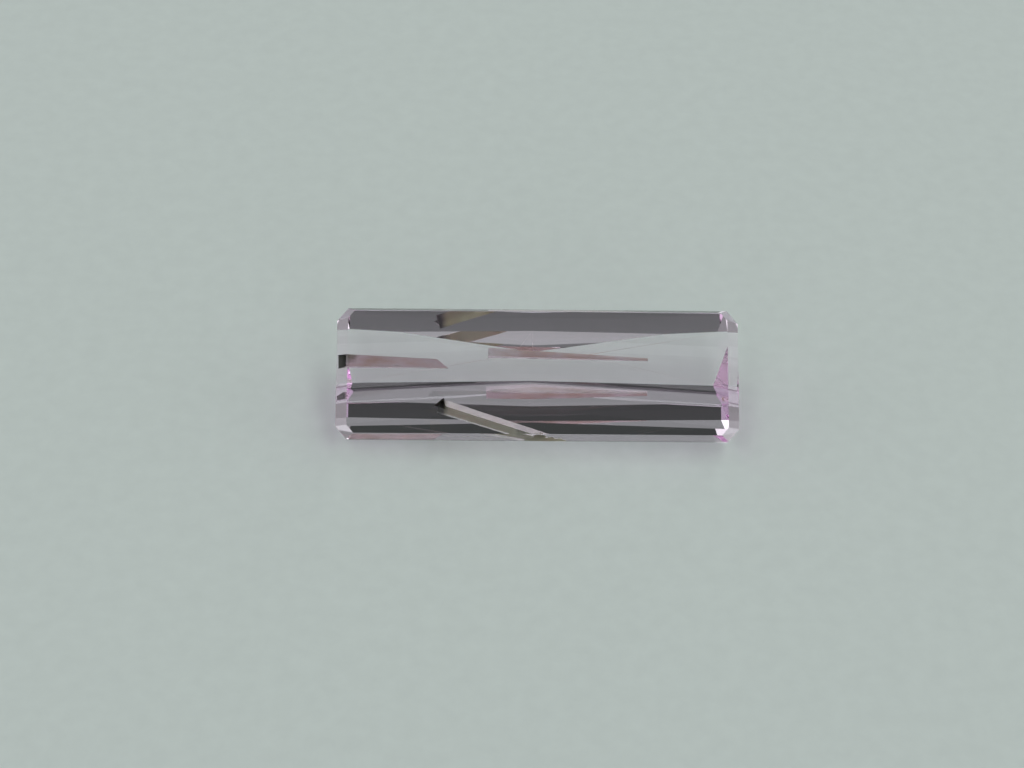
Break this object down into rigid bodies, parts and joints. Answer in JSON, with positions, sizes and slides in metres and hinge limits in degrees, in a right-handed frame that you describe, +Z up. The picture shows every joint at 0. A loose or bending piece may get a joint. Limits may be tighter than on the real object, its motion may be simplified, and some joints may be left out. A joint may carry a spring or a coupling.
{
  "type": "faceted kunzite gemstone",
  "caption": "Clear pale pink kunzite cut as a long step-cut rectangle with trimmed corners, with natural etch channels inside, lying tipped on a lower facet.",
  "frame": {"origin": "centre of the bottom of the stone's box, on the surface that it lies on", "axes": "+X along the stone, +Z up from the surface, the table faces up and to -Y"},
  "size_m": [0.024, 0.007, 0.0064],
  "materials": {
    "kunzite": "polished, see-through, pale lilac pink"
  },
  "bodies": {
    "root": {"kunzite": "kunzite"}
  },
  "joints": []
}
